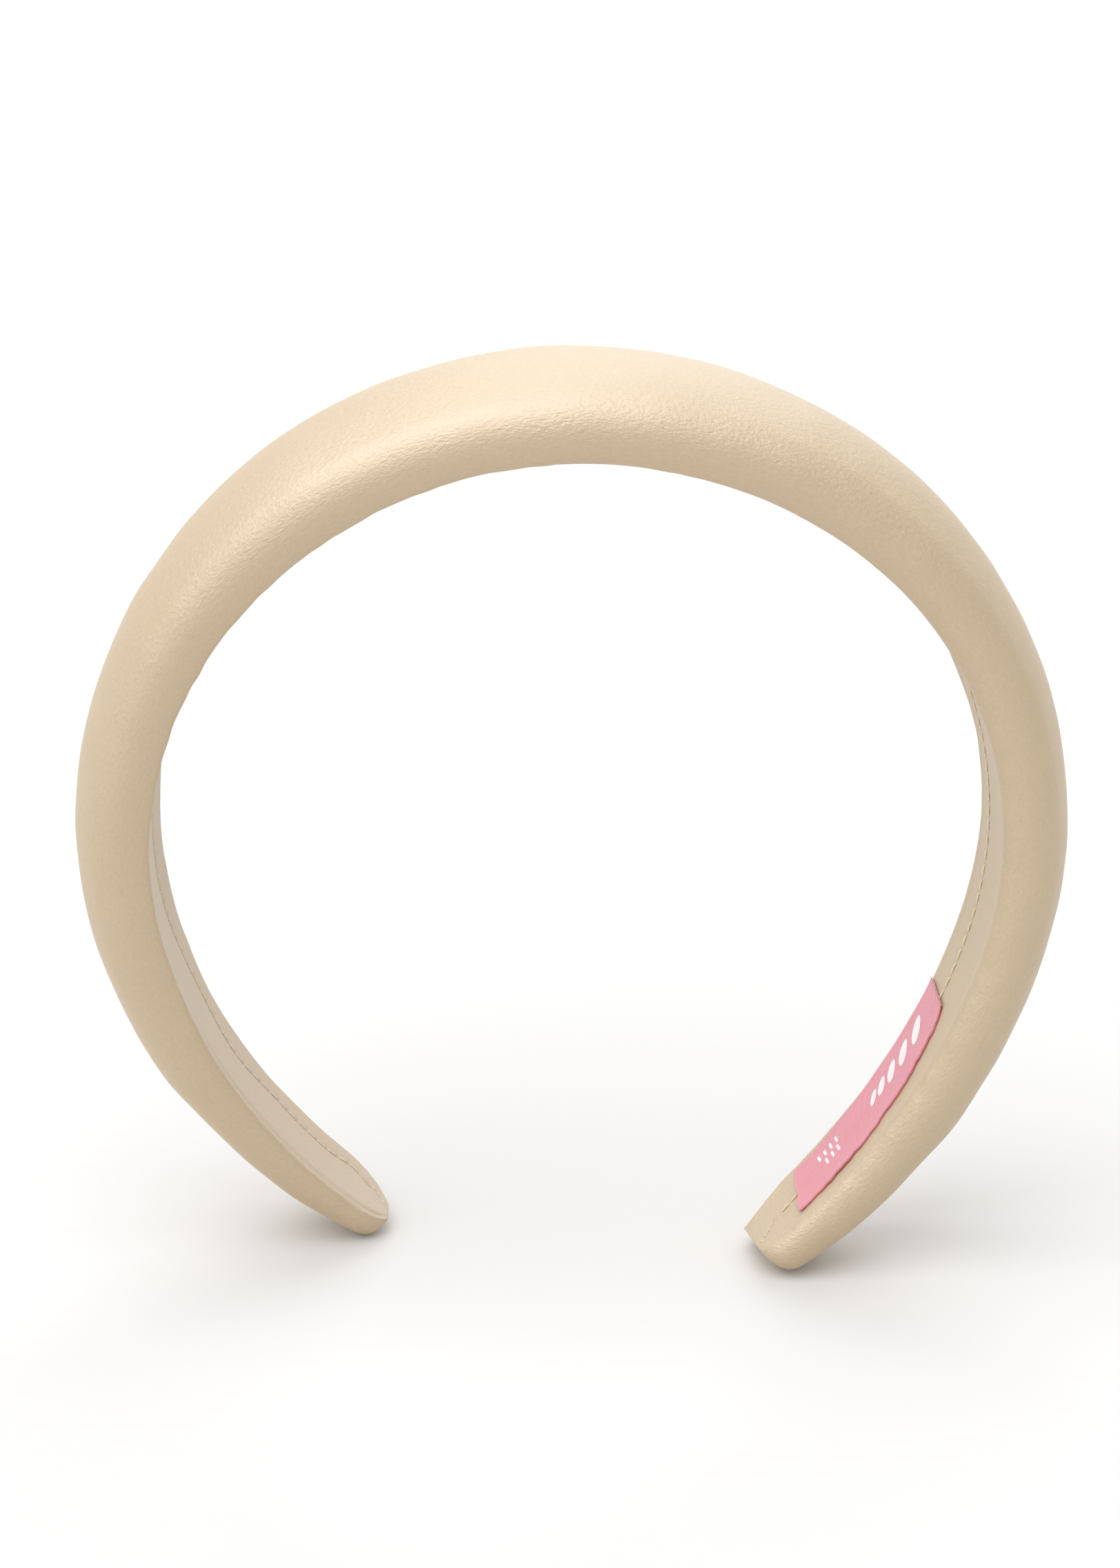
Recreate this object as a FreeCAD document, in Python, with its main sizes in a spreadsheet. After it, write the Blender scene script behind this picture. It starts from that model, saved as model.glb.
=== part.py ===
"""Padded satin headband, standing on its two tips.

Frame: +Z up, and the front of the headband faces -Y. The origin is on the floor, midway between the
tips. Left and right are as seen from the front. Lengths are millimetres and angles are degrees.

The inner face follows an arch of three tangent arcs on each side: crown, shoulder and leg. Each layer
is lofted through cross-sections at stations along that arch, from the left tip to the right tip, and
then parted at the two shoulder hinges into a crown, a left leg and a right leg.
"""
import FreeCAD, Part
import math
import os
import Sketcher

DIMENSIONS = {
    # arch of the inner face
    "crown_radius": 71.4,
    "crown_angle": 44.5,
    "shoulder_radius": 68.7,
    "shoulder_angle": 63.3,
    "leg_radius": 112.9,
    "leg_angle": 33.2,
    "tip_set": 7.9,  # how far each tip stands out of the crown's plane
    "set_power": 3.5,
    # inner face's half width, and height of the pad above it
    "crown_half_width": 16.5,
    "tip_half_width": 7.8,
    "width_power": 1.71,
    "crown_loft": 12.4,
    "tip_loft": 7.0,
    "loft_power": 6.0,
    "side_round": 0.5,  # radius of the pad's sides, as a share of its height
    "side_level": 0.33,  # height of those arcs' centres, as a share of the pad's height
    # layers
    "layer_gap": 0.05,  # clearance between one layer and the next
    "cover_gauge": 0.4,
    "core_gauge": 1.6,
    "core_margin": 0.2,
    "tape_gauge": 0.2,
    "tape_margin": 1.2,
    # ends of the layers, measured back from the tip
    "fold_length": 5.0,
    "filling_setback": 5.2,  # core, tape and foam
    "fold_end_width": 0.8,
    "fold_end_loft": 0.7,
    "foot_flat": 0.9,  # how much the resting tip is flattened
    # slip-stitched seam on the inner face
    "seam_place": 0.33,  # share of the half width, towards the back
    "seam_gap": 0.5,
    "thread_radius": 0.18,
    "stitch_pitch": 2.6,
    "stitch_length": 1.9,
    "tack_length": 1.6,
    "tack_pitch": 1.1,
    # ribbon label inside the right leg
    "label_start": 13.0,  # its lower edge, measured back from the tip
    "label_length": 42.0,
    "label_width": 14.2,
    "label_margin": 0.6,  # from the back edge of the inner face
    "label_gauge": 0.35,
    "film_gauge": 0.12,
    "film_margin": 0.3,
    # shoulder hinges
    "hinge_gap": 0.4,
    "hinge_notch": 6.8,  # tilt of each face beside a hinge
    # shapes that only cut
    "cutter_depth": 60.0,
    "cutter_ray": 30.0,
    "cutter_reach": 110.0,
    "cutter_below": 20.0,
}
SIDES = {"left": -1, "right": 1}
LABEL_STEPS = 4
TACKS = 3

doc = FreeCAD.newDocument("padded_headband")
sheet = doc.addObject("Spreadsheet::Sheet", "dims")
for row, (alias, size) in enumerate(DIMENSIONS.items(), start=1):
    sheet.set(f"A{row}", alias)
    sheet.set(f"B{row}", str(size))
    sheet.setAlias(f"B{row}", alias)
doc.recompute()
nodes = []


def value(formula):
    """The number that a formula gives with the sheet's present sizes."""
    return float(sheet.evalExpression(formula))


def variables(name, formulas):
    """A set of named values that follow the sheet, and each other."""
    holder = doc.addObject("App::VarSet", name)
    for key, formula in formulas.items():
        holder.addProperty("App::PropertyFloat", key)
        holder.setExpression(key, formula)
    doc.recompute()
    return name


# ---------------------------------------------------------------- the arch and its stations

DEGREE = "(pi / 180)"
variables("arch", {
    "shoulder_turn": "dims.crown_angle",
    "leg_turn": "dims.crown_angle + dims.shoulder_angle",
    "tip_turn": "dims.crown_angle + dims.shoulder_angle + dims.leg_angle",
    "crown_length": f"dims.crown_radius * dims.crown_angle * {DEGREE}",
    "shoulder_length": f"dims.shoulder_radius * dims.shoulder_angle * {DEGREE}",
    "leg_length": f"dims.leg_radius * dims.leg_angle * {DEGREE}",
    "half_length": "crown_length + shoulder_length + leg_length",
    "shoulder_reach": "(dims.crown_radius - dims.shoulder_radius) * sin(shoulder_turn)",
    "shoulder_rise": "(dims.crown_radius - dims.shoulder_radius) * cos(shoulder_turn)",
    "leg_reach": "shoulder_reach + (dims.shoulder_radius - dims.leg_radius) * sin(leg_turn)",
    "leg_rise": "shoulder_rise + (dims.shoulder_radius - dims.leg_radius) * cos(leg_turn)",
    "tip_rise": "leg_rise + dims.leg_radius * cos(tip_turn)",
    "foot_rise": "tip_rise + dims.tip_loft * dims.fold_end_loft * cos(tip_turn)",
    "crown_height": "-foot_rise - dims.foot_flat",
    "hinge_radius": "dims.crown_radius + dims.cover_gauge + dims.layer_gap + dims.core_gauge / 2",
    "hinge_reach": "hinge_radius * sin(shoulder_turn)",
    "hinge_height": "crown_height + hinge_radius * cos(shoulder_turn)",
})
ARC_STARTS = {  # turn and length at which each arc begins, and reach and rise of its centre
    "crown": ("0", "0", "0", "0"),
    "shoulder": ("arch.shoulder_turn", "arch.crown_length",
                 "arch.shoulder_reach", "arch.shoulder_rise"),
    "leg": ("arch.leg_turn", "arch.crown_length + arch.shoulder_length",
            "arch.leg_reach", "arch.leg_rise"),
}


def station_formulas(arc, share, wider="1", taller="1"):
    """A cross-section's place on the right half of the arch, and its size there."""
    turn_before, length_before, centre_reach, centre_rise = ARC_STARTS[arc]
    turn = f"({turn_before} + dims.{arc}_angle * ({share}))"
    travel = f"(({length_before} + arch.{arc}_length * ({share})) / arch.half_length)"
    narrowing = f"(dims.crown_half_width - dims.tip_half_width) * {travel} ^ dims.width_power"
    thinning = f"(dims.crown_loft - dims.tip_loft) * {travel} ^ dims.loft_power"
    return {
        "turn": turn,
        "reach": f"{centre_reach} + dims.{arc}_radius * sin({turn})",
        "height": f"arch.crown_height + {centre_rise} + dims.{arc}_radius * cos({turn})",
        "setting": f"dims.tip_set * {travel} ^ dims.set_power",
        "half_width": f"(dims.crown_half_width - {narrowing}) * {wider}",
        "loft": f"(dims.crown_loft - {thinning}) * {taller}",
    }


def station(name, arc, share, wider="1", taller="1"):
    """A named station whose values the sketches there use."""
    return variables(name, station_formulas(arc, share, wider, taller))


def from_tip(distance):
    """The share of the leg arc that lies above a distance from the tip."""
    return f"1 - ({distance}) / arch.leg_length"


def place(distance, side, across, outward):
    """A point given by its distance along the arch from the top, on one side, as a vector."""
    lengths = {"crown": value("arch.crown_length"), "shoulder": value("arch.shoulder_length"),
               "leg": value("arch.leg_length")}
    for arc, length in lengths.items():
        if distance <= length or arc == "leg":
            break
        distance -= length
    found = station_formulas(arc, repr(distance / length))
    turn = math.radians(value(found["turn"]))
    half_width = value(found["half_width"])
    return FreeCAD.Vector(
        side * (value(found["reach"]) + outward * math.sin(turn)),
        across * half_width - side * value(found["setting"]),
        value(found["height"]) + outward * math.cos(turn),
    )


TOP = station("at_top", "crown", "0")
SPAN = [  # from beside the top towards a tip
    station("at_crown_middle", "crown", "0.5"),
    station("at_hinge", "crown", "1"),
    station("at_shoulder_upper", "shoulder", "1 / 3"),
    station("at_shoulder_lower", "shoulder", "2 / 3"),
    station("at_leg_start", "shoulder", "1"),
    station("at_leg_upper", "leg", "1 / 3"),
    station("at_leg_lower", "leg", "2 / 3"),
]


# ---------------------------------------------------------------- cross-sections
# An outline is a closed list of corners (across, outward, radius, turning): the first three are
# formulas, and the last two describe the edge that leaves the corner. A straight edge has no radius.
# Turning is 1 for an arc that bulges to the right of its direction and -1 for one to the left.

def dome(at, inset):
    """Corners and radii of the D-shaped pad, a distance inside the cover's outer surface."""
    loft = f"({at}.loft - 2 * {inset})"
    crease = f"({at}.half_width - {inset})"
    side = f"(dims.side_round * {loft})"
    centre = f"({crease} - sqrt(dims.side_round ^ 2 - dims.side_level ^ 2) * {loft})"
    drop = f"((1 - dims.side_level) * {loft})"
    top = f"(({centre} ^ 2 + {drop} ^ 2 - {side} ^ 2) / (2 * ({drop} - {side})))"
    knee_out = f"({centre} * {top} / ({top} - {side}))"
    knee_up = f"({inset} + {loft} - {top} + {top} * ({top} - {drop}) / ({top} - {side}))"
    return {"loft": loft, "crease": crease, "side": side, "centre": centre, "top": top,
            "knee_out": knee_out, "knee_up": knee_up}


def pad_outline(at, inset, base):
    """The D shape above a flat base."""
    d = dome(at, inset)
    level = f"({inset} + dims.side_level * {d['loft']})"
    edge = f"({d['centre']} + sqrt({d['side']} ^ 2 - ({base} - {level}) ^ 2))"
    return [
        (f"-{edge}", base, None, 1),
        (edge, base, d["side"], 1),
        (d["knee_out"], d["knee_up"], d["top"], 1),
        (f"-{d['knee_out']}", d["knee_up"], d["side"], 1),
    ]


def strip_outline(front, back, low, high):
    """A flat strip between two places across the band and two heights above its inner face."""
    return [(front, low, None, 1), (back, low, None, 1), (back, high, None, 1), (front, high, None, 1)]


def cover_outline(at):
    """The silk wrapped right round the pad and the core, open only along the seam."""
    gauge = "dims.cover_gauge"
    outer, inner = dome(at, "0"), dome(at, gauge)
    seam_back = f"(dims.seam_place * {at}.half_width + dims.seam_gap / 2)"
    seam_front = f"(dims.seam_place * {at}.half_width - dims.seam_gap / 2)"
    return [
        (seam_back, "0", None, 1),
        (outer["crease"], "0", outer["side"], 1),
        (outer["knee_out"], outer["knee_up"], outer["top"], 1),
        (f"-{outer['knee_out']}", outer["knee_up"], outer["side"], 1),
        (f"-{outer['crease']}", "0", None, 1),
        (seam_front, "0", None, 1),
        (seam_front, gauge, None, 1),
        (f"-{inner['crease']}", gauge, inner["side"], -1),
        (f"-{inner['knee_out']}", inner["knee_up"], inner["top"], -1),
        (inner["knee_out"], inner["knee_up"], inner["side"], -1),
        (inner["crease"], gauge, None, 1),
        (seam_back, gauge, None, 1),
    ]


def edge_between(start, end, radius, turning):
    """The straight edge, or the short arc, from start to end."""
    if radius is None:
        return Part.LineSegment(start, end)
    chord = end.sub(start)
    half = chord.Length / 2
    sagitta = radius - math.sqrt(radius ** 2 - half ** 2)
    away = FreeCAD.Vector(chord.y, -chord.x, 0).normalize()
    middle = start.add(end).multiply(0.5).add(away.multiply(turning * sagitta))
    return Part.Arc(start, middle, end)


def bind(sketch, constraint, formula):
    """Adds a dimension to a sketch and ties it to a formula."""
    index = sketch.addConstraint(constraint)
    sketch.setExpression(f"Constraints[{index}]", formula)


def draw(sketch, outline):
    """Draws a closed outline whose corners and radii follow their formulas."""
    axis_origin = (-1, 1)
    corners = [FreeCAD.Vector(value(across), value(outward), 0) for across, outward, _, _ in outline]
    count = len(outline)
    for index, (_, _, radius, turning) in enumerate(outline):
        size = None if radius is None else value(radius)
        sketch.addGeometry(edge_between(corners[index], corners[(index + 1) % count], size, turning))
    for index, (across, outward, radius, turning) in enumerate(outline):
        start = 1 if turning > 0 else 2
        following = (index + 1) % count
        next_start = 1 if outline[following][3] > 0 else 2
        sketch.addConstraint(Sketcher.Constraint("Coincident", index, 3 - start, following, next_start))
        corner = corners[index]
        bind(sketch, Sketcher.Constraint("DistanceX", *axis_origin, index, start, corner.x), across)
        bind(sketch, Sketcher.Constraint("DistanceY", *axis_origin, index, start, corner.y), outward)
        if radius is not None:
            bind(sketch, Sketcher.Constraint("Radius", index, value(radius)), radius)


# ---------------------------------------------------------------- solids

def origin_plane(body, role):
    """One of a body's own origin planes."""
    return next(plane for plane in body.Origin.OriginFeatures if plane.Role == role)


def section(body, at, side, outline):
    """A sketch that stands square to the arch: its X is the row's +Y, and its Y points outwards."""
    sketch = body.newObject("Sketcher::SketchObject", f"{body.Name}_section")
    sketch.AttachmentSupport = [(origin_plane(body, "XY_Plane"), "")]
    sketch.MapMode = "FlatFace"
    sketch.AttachmentOffset = FreeCAD.Placement(FreeCAD.Vector(), FreeCAD.Rotation(90, 0, 90))
    sketch.setExpression("AttachmentOffset.Base.x", f"{side} * {at}.reach")
    sketch.setExpression("AttachmentOffset.Base.y", f"{-side} * {at}.setting")
    sketch.setExpression("AttachmentOffset.Base.z", f"{at}.height")
    turn = f"{side} * {at}.turn"
    sketch.setExpression("AttachmentOffset.Rotation.Roll", f"{turn} > 90 ? {turn} - 270 : {turn} + 90")
    draw(sketch, outline)
    return sketch


def lofted(name, places, outline_at):
    """A body lofted through a cross-section at each place, (station, side)."""
    body = doc.addObject("PartDesign::Body", name)
    sections = [section(body, at, side, outline_at(at)) for at, side in places]
    loft = body.newObject("PartDesign::AdditiveLoft", f"{name}_loft")
    loft.Profile = sections[0]
    loft.Sections = sections[1:]
    doc.recompute()
    return body


def full_span(end):
    """Places from the left tip over the top to the right tip, ending at one station on each side."""
    half = SPAN + [end]
    return [(at, -1) for at in reversed(half)] + [(TOP, 1)] + [(at, 1) for at in half]


def region(name, outline):
    """A prism that holds one moving region of the headband, drawn in the XZ plane."""
    body = doc.addObject("PartDesign::Body", name)
    sketch = body.newObject("Sketcher::SketchObject", f"{name}_outline")
    sketch.AttachmentSupport = [(origin_plane(body, "XZ_Plane"), "")]
    sketch.MapMode = "FlatFace"
    draw(sketch, [(across, up, None, 1) for across, up in outline])
    pad = body.newObject("PartDesign::Pad", f"{name}_pad")
    pad.Profile = sketch
    pad.SideType = "Symmetric"
    pad.setExpression("Length", "dims.cutter_depth")
    doc.recompute()
    return body


def hinge_corners(side, away):
    """Inner, pivot and outer corner of the face beside a hinge: away is 1 for a leg, -1 for the crown."""
    turn = "arch.shoulder_turn"
    pivot_x = f"(arch.hinge_reach + {away} * dims.hinge_gap / 2 * cos({turn}))"
    pivot_z = f"(arch.hinge_height - {away} * dims.hinge_gap / 2 * sin({turn}))"
    tilted = f"({turn} + {away} * dims.hinge_notch)"
    inner = (f"{side} * ({pivot_x} - dims.cutter_ray / 3 * sin({turn}))",
             f"{pivot_z} - dims.cutter_ray / 3 * cos({turn})")
    outer = (f"{side} * ({pivot_x} + dims.cutter_ray * sin({tilted}))",
             f"{pivot_z} + dims.cutter_ray * cos({tilted})")
    return inner, (f"{side} * {pivot_x}", pivot_z), outer


def crown_region():
    """Everything between the two hinges."""
    left, right = hinge_corners(-1, -1), hinge_corners(1, -1)
    sky = "arch.crown_height + dims.cutter_reach"
    return region("crown_region", [*left, (left[2][0], sky), (right[2][0], sky), *reversed(right)])


def leg_region(name, side):
    """Everything beyond one hinge."""
    inner, pivot, outer = hinge_corners(side, 1)
    ground = "-dims.cutter_below"
    beside = f"{side} * dims.cutter_reach"
    return region(f"{name}_region", [
        inner, pivot, outer, (beside, outer[1]), (beside, ground),
        (f"{side} * dims.layer_gap", ground), (f"{side} * dims.layer_gap", inner[1]),
    ])


def part_at_hinges(stem, layer):
    """Parts a whole layer into its crown, left and right pieces."""
    for name, cutter in REGIONS.items():
        piece = doc.addObject("Part::Common", f"{stem}_{name}")
        piece.Base = layer
        piece.Tool = cutter
        nodes.append(piece)
    doc.recompute()


def build_layers():
    """The plastic core, its tape, the foam pad and the silk cover."""
    core_low = "(dims.cover_gauge + dims.layer_gap)"
    core_high = f"({core_low} + dims.core_gauge)"
    tape_low = f"({core_high} + dims.layer_gap)"
    tape_high = f"({tape_low} + dims.tape_gauge)"
    foam_low = f"({tape_high} + dims.layer_gap)"

    def core_outline(at):
        edge = f"({at}.half_width - dims.cover_gauge - dims.core_margin)"
        return strip_outline(f"-{edge}", edge, core_low, core_high)

    def tape_outline(at):
        edge = f"({at}.half_width - dims.cover_gauge - dims.tape_margin)"
        return strip_outline(f"-{edge}", edge, tape_low, tape_high)

    def foam_outline(at):
        return pad_outline(at, "(dims.cover_gauge + dims.layer_gap)", foam_low)

    layers = {
        "core": (core_outline, "dims.filling_setback"),
        "tape": (tape_outline, "dims.filling_setback"),
        "foam": (foam_outline, "dims.filling_setback"),
        "cover": (cover_outline, "dims.fold_length"),
    }
    for stem, (outline_at, setback) in layers.items():
        end = station(f"{stem}_end", "leg", from_tip(setback))
        part_at_hinges(stem, lofted(f"{stem}_layer", full_span(end), outline_at))


def build_tip_folds():
    """The cover's turned-in ends, flattened where they rest on the floor."""
    steps = [("0", "1", "1"), ("0.5", "0.98", "0.97"), ("0.85", "0.92", "0.87"),
             ("1", "dims.fold_end_width", "dims.fold_end_loft")]
    stations = [
        station(f"fold_step_{i}", "leg", from_tip(f"(dims.fold_length - dims.layer_gap) * (1 - {share})"),
                wider, taller)
        for i, (share, wider, taller) in enumerate(steps)
    ]
    floor = doc.addObject("Part::Box", "floor")
    floor.setExpression("Length", "2 * dims.cutter_reach")
    floor.setExpression("Width", "dims.cutter_depth")
    floor.setExpression("Height", "dims.cutter_below")
    floor.setExpression("Placement.Base.x", "-dims.cutter_reach")
    floor.setExpression("Placement.Base.y", "-dims.cutter_depth / 2")
    floor.setExpression("Placement.Base.z", "-dims.cutter_below")
    for name, side in SIDES.items():
        fold = lofted(f"fold_{name}", [(at, side) for at in stations],
                      lambda at: pad_outline(at, "0", "0"))
        foot = doc.addObject("Part::Cut", f"tip_fold_{name}")
        foot.Base = fold
        foot.Tool = floor
        nodes.append(foot)
    doc.recompute()


def build_label():
    """A woven ribbon label and the film that bonds it, inside the right leg."""
    stations = [
        station(f"label_step_{i}", "leg",
                from_tip(f"dims.label_start + dims.label_length * {i} / {LABEL_STEPS}"))
        for i in range(LABEL_STEPS + 1)
    ]
    film_low = "-(dims.layer_gap + dims.film_gauge)"

    def film_outline(at):
        back = f"({at}.half_width - dims.label_margin)"
        return strip_outline(f"{back} - dims.label_width - dims.film_margin", back,
                             film_low, "-dims.layer_gap")

    def label_outline(at):
        back = f"({at}.half_width - dims.label_margin)"
        return strip_outline(f"{back} - dims.label_width", back,
                             f"{film_low} - dims.label_gauge", film_low)

    places = [(at, 1) for at in stations]
    nodes.append(lofted("label_backing", places, film_outline))
    nodes.append(lofted("ribbon_label", places, label_outline))


def thread(start, end):
    """One straight stitch of thread."""
    run = end.sub(start)
    return Part.makeCylinder(value("dims.thread_radius"), run.Length, start, run)


def add_threads(name, stitches):
    """A node that holds many separate stitches."""
    group = doc.addObject("Part::Feature", name)
    group.Shape = Part.makeCompound(stitches)
    nodes.append(group)


def seam_stitches(first, last):
    """Stitches in the seam, centred at equal steps between two signed distances from the top."""
    half = value("dims.stitch_length") / 2
    across, outward = value("dims.seam_place"), value("dims.cover_gauge") / 2
    steps = int((last - first - 2 * half) / value("dims.stitch_pitch"))
    stitches = []
    for step in range(steps + 1):
        middle = first + half + (last - first - 2 * half) * step / steps
        side = -1 if middle < 0 else 1
        ends = [place(abs(middle) + reach, side, across, outward) for reach in (-half, half)]
        if abs(middle) > half:
            stitches.append(thread(*ends))
    return stitches


def build_stitching():
    """The slip stitches along the seam, and the tacks that close each folded tip."""
    hinge = value("arch.crown_length")
    clear = value("dims.hinge_gap")
    last = value("arch.half_length - dims.fold_length")
    add_threads("seam_stitches_crown", seam_stitches(clear - hinge, hinge - clear))
    add_threads("seam_stitches_left", seam_stitches(-last, -hinge - clear))
    add_threads("seam_stitches_right", seam_stitches(hinge + clear, last))
    below = -value("dims.thread_radius + dims.layer_gap")
    for name, side in SIDES.items():
        tacks = []
        for step in range(TACKS):
            distance = value(f"arch.half_length - dims.tack_pitch * ({step} + 0.8)")
            middle = place(distance, side, value("dims.seam_place"), below)
            reach = FreeCAD.Vector(0, value("dims.tack_length / 2"), 0)
            tacks.append(thread(middle.sub(reach), middle.add(reach)))
        add_threads(f"tip_tacks_{name}", tacks)


REGIONS = {"crown": crown_region(), "left": leg_region("left", -1), "right": leg_region("right", 1)}
build_layers()
build_tip_folds()
build_label()
build_stitching()
doc.recompute()

for item in doc.Objects:
    if "Invalid" in item.State or "Error" in item.State:
        raise RuntimeError(f"{item.Label} failed: {item.State}")
for node in nodes:
    if node.Shape.isNull() or not node.Shape.isValid() or not node.Shape.Solids:
        raise RuntimeError(f"{node.Label} has no valid solid")

os.makedirs("parts", exist_ok=True)
for node in nodes:
    node.Shape.exportStep(f"parts/{node.Label}.step")
    print(f"{node.Label:22s} {len(node.Shape.Solids):4d} solids {node.Shape.Volume:10.1f} mm3")
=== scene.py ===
import math

import bpy
import numpy as np
from mathutils import Matrix, Vector


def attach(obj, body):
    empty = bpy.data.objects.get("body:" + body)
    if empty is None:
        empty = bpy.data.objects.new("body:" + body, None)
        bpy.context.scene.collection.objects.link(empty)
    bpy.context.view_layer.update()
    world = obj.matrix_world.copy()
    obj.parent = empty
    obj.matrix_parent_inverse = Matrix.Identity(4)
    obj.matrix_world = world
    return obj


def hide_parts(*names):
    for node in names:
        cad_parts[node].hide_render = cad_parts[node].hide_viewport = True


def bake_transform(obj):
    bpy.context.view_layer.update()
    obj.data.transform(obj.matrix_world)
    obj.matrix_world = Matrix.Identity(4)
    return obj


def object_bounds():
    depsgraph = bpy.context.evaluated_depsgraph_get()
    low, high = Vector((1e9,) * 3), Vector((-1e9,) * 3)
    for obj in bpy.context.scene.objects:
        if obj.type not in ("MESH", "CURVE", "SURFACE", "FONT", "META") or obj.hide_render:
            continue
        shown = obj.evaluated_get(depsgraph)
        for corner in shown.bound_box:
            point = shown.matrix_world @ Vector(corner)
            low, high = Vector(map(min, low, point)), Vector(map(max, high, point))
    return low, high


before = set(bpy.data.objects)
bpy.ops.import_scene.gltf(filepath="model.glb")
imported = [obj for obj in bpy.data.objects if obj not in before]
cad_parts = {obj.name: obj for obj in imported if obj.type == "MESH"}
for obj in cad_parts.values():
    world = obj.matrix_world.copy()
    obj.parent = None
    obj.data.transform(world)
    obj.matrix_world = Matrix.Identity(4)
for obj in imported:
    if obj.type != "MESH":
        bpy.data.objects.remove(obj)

CAD_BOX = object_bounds()
MM = 0.001  # every size below is in millimetres, and meshes are made in metres

# ---- the band's driving dimensions, as in the CAD model ----
ARCS = ((71.4, 44.5), (68.7, 63.3), (112.9, 33.2))  # radius and sweep of crown, shoulder and leg
LENGTH = sum(radius * math.radians(sweep) for radius, sweep in ARCS)
TIP_SET, SET_POWER = 7.9, 3.5
CROWN_HALF_WIDTH, TIP_HALF_WIDTH, WIDTH_POWER = 16.5, 7.8, 1.71
CROWN_LOFT, TIP_LOFT, LOFT_POWER = 12.4, 7.0, 6.0
SIDE_ROUND, SIDE_LEVEL = 0.5, 0.33  # the pad's sides, as shares of its height
CROWN_CENTRE = CAD_BOX[1].z / MM - CROWN_LOFT - ARCS[0][0]
HINGE_PLACE = ARCS[0][0] * math.radians(ARCS[0][1])  # the shoulder hinges' distance from the top
LEFT, RIGHT = -1, 1

# ---- the threads ----
STITCH_PITCH = 2.6
STITCH_REACH = 0.4  # half a visible stitch, as a share of the pitch
STITCH_SLANT = 0.12
STITCH_START, STITCH_SHIFT, STITCH_ROUND = 0.14, 0.1, 0.35
STITCH_RISE = {RIGHT: 0.3, LEFT: 0.2}
THREAD_RADIUS = {RIGHT: 0.17, LEFT: 0.12}
STITCH_FREE_END = 4.5  # the length at each tip that has tacks in place of stitches
TACKS, TACK_PITCH, FIRST_TACK = 3, 1.1, 1.3
TACK_REACH, TACK_LEAN, TACK_START, TACK_RISE, TACK_RADIUS = 0.55, 0.15, 0.12, 0.2, 0.1
THREAD_SEED = 21
STITCH_POINTS, TACK_POINTS, THREAD_SIDES = 11, 9, 8

# ---- the silk cover ----
STATION_STEP = STITCH_PITCH / 6
NOSE = 8.0  # the stretch at each tip where the cover closes
NOSE_STATIONS = 22
DOME_COLUMNS, NEAR_COLUMNS, FAR_COLUMNS, FOLD_COLUMNS = 112, 46, 30, 7
END_GAP = 0.3  # thickness left at a closed tip
SIDE_BLEND = 50.0  # length over which one leg's shape turns into the other's at the top
END_SHEAR, SHEAR_WIDTH, SHEAR_REACH = 0.2, 11.0, 14.0  # the right tip's slant
CREASE_PASSES = 4
ROLL_PLACE, ROLL_SPREAD = 1.1, 1.2  # soft ridge beside each crease
EDGE_ROLL = {RIGHT: 0.25, LEFT: 0.0}
VALLEY = {RIGHT: 0.0, LEFT: 0.4}  # dip where the pad's side rolls over beside the near crease
VALLEY_PLACE, VALLEY_SPREAD = 1.1, 0.6
FOLD_LIFT, FOLD_FALL = 0.09, 1.6  # the seam's upper flap, and how soon it falls back to the face
FLAP_SAG, FLAP_REACH = 0.1, 2.0
FOLD_RADIUS, GROOVE_DEPTH, GROOVE_REACH = 0.14, 0.05, 0.22  # the groove between the two flaps
NOTCH_DEPTH, NOTCH_REACH = {RIGHT: 0.1, LEFT: 0.24}, 0.5  # dimples where the thread pulls
PULL_SHIFT, PULL_SHARPNESS, PULL_HOLD = 0.12, 2.5, 0.7
SEAM_WANDER = {RIGHT: 0.22, LEFT: 0.38}
SEAM_MARGINS = (1.2, 0.8)  # the seam's least distance from the near and far creases
# painted shade along the seam, on the left leg's far flap and in the left leg's near crease
SEAM_SHADE = {RIGHT: 0.55, LEFT: 1.0}
SEAM_SHADE_REACH, LEFT_CREASE_SHADE_SPREAD, FAR_FLAP_SHADE = 0.28, 0.7, 0.3
DULLNESS = {RIGHT: 0.4, LEFT: 1.0}  # how far the inner face loses the satin's gloss
FLOOR_BLEND = 0.25
DETAIL_REACH, DETAIL_AT_TIP = 2.5, 0.25  # seam and creases lose their detail towards the tip
WANDER_REACH = 12.0
SOFT_COLUMNS, DULL_COLUMNS = 7, 3  # grid columns over which a crease is softened, and gloss is lost
# painted shade in the left leg's near crease: full near the tip, fading out over the given length
LEFT_CREASE_SHADE_LEVEL, LEFT_CREASE_SHADE_LENGTH = 1.4, 90.0

# ---- the silk's relief: each ripple is a seed, its shortest and its longest wave ----
WAVES = 22
SEAM_RIPPLE = (3, 14, 40)
SWELL, SWELL_HEIGHT = (11, 22, 60), 0.07
FINE_SWELL, FINE_SWELL_HEIGHT = (12, 8, 18), 0.03
CRIMP, CRIMP_HEIGHT, CRIMP_REACH, CRIMP_SQUEEZE = (13, 3.5, 8), 0.045, 3.5, 0.35
DRAG, DRAG_HEIGHT, DRAG_REACH = (14, 9, 22), 0.035, 9
DRAG_ALONG, DRAG_LEAN, DRAG_AROUND = 0.8, 0.5, 0.3
RELIEF_REACH, RELIEF_AT_TIP = 6, 0.1
INNER_QUIET, INNER_SWELL = 0.35, 0.8

# how each quantity closes at the tip: (share left at the tip, reach, power, sharpness)
NEAR_CLOSING = {RIGHT: (0.55, 5.5, 2.8, 0.6), LEFT: (0.62, 7.0, 2.2, 0.6)}
FAR_CLOSING = {RIGHT: (0.63, 9.5, 1.15, 1), LEFT: (0.05, 11.0, 2.6, 0.8)}
LOFT_CLOSING = {RIGHT: (4.6, 2.6, 0.45), LEFT: (2.4, 2.8, 0.4)}  # the same without the share

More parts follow.
